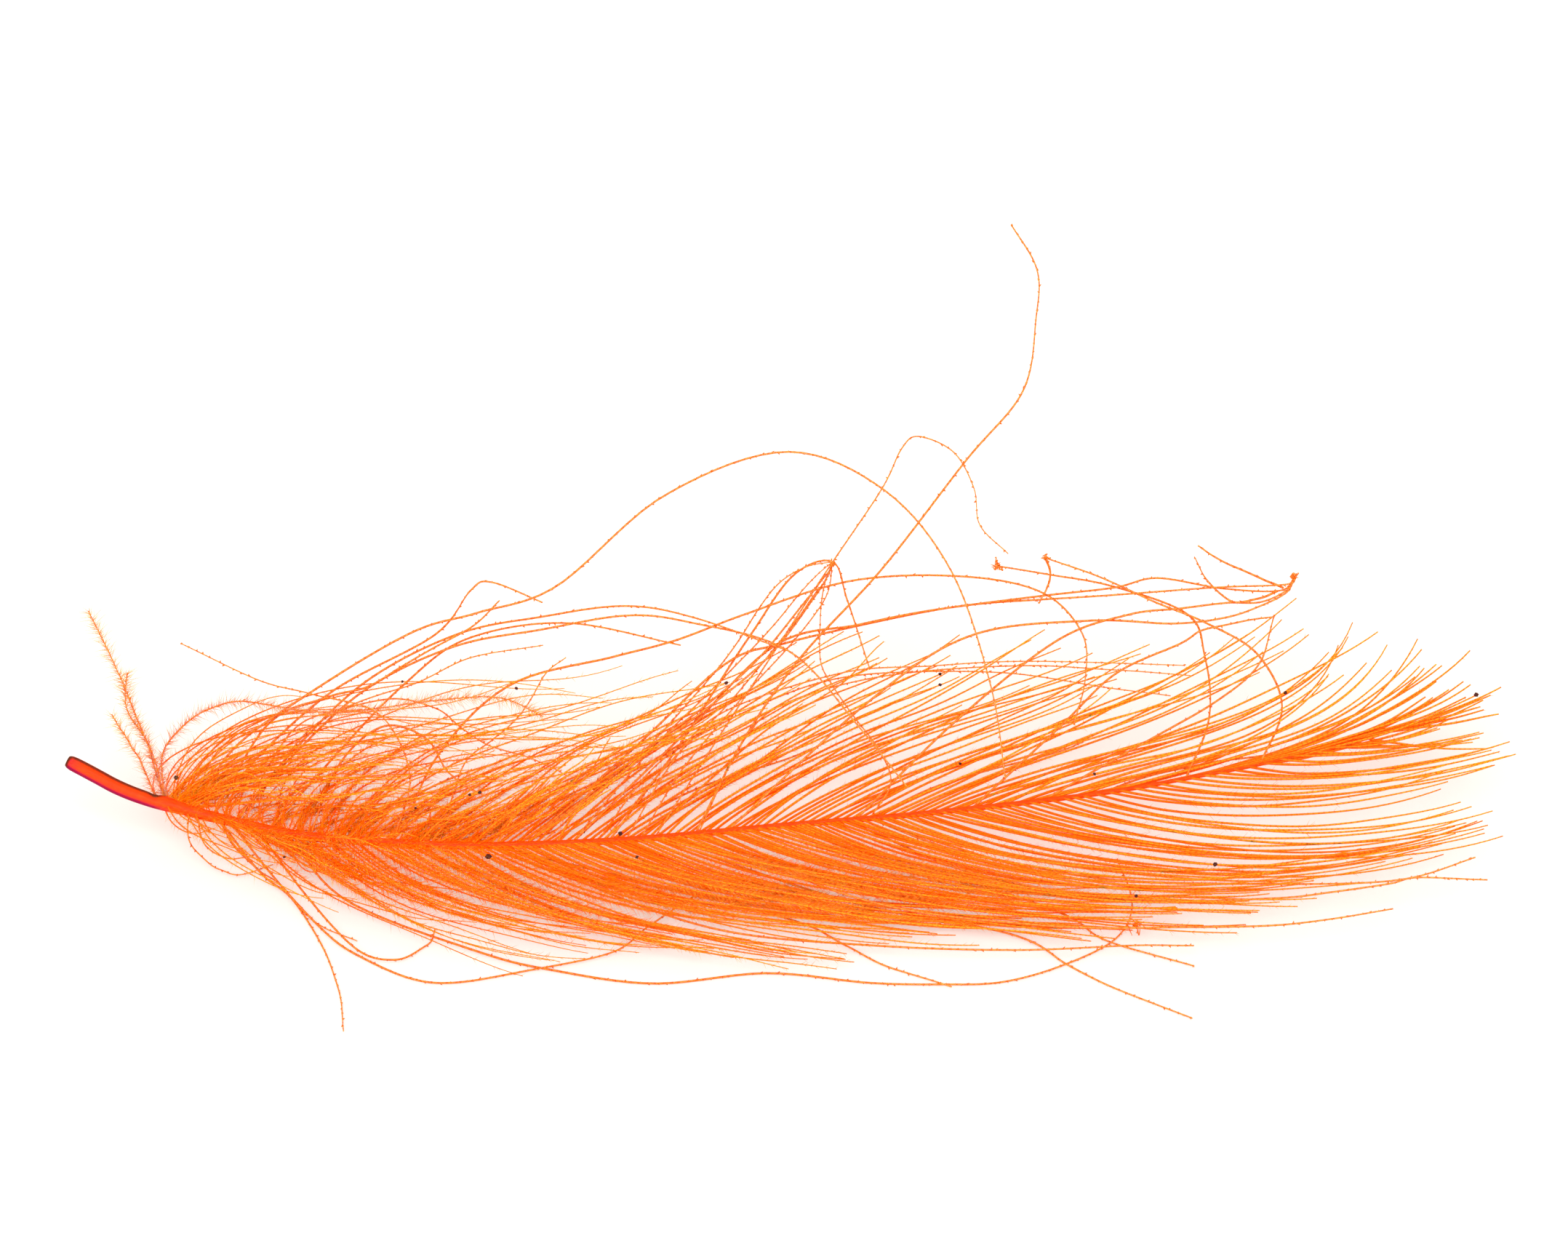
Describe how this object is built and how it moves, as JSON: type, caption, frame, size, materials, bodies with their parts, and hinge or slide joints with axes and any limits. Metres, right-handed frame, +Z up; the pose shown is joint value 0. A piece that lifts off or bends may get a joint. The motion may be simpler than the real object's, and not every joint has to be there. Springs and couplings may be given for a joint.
{
  "type": "cul de canard feather",
  "caption": "Small downy duck feather, dyed orange: a short bare quill, a thin curved shaft, open vanes of fine barbs on both sides and loose stray barbs.",
  "frame": {"origin": "middle of the underside of the feather's bounding box, on the surface that it lies on", "axes": "+X from the cut quill end towards the tip, +Y across the vanes towards the far vane, +Z up from the surface"},
  "size_m": [0.0504, 0.0232, 0.0165],
  "materials": {
    "feather": "dyed keratin, soft and matte, a little glossy on the quill"
  },
  "bodies": {
    "root": {"feather": "feather"}
  },
  "joints": []
}
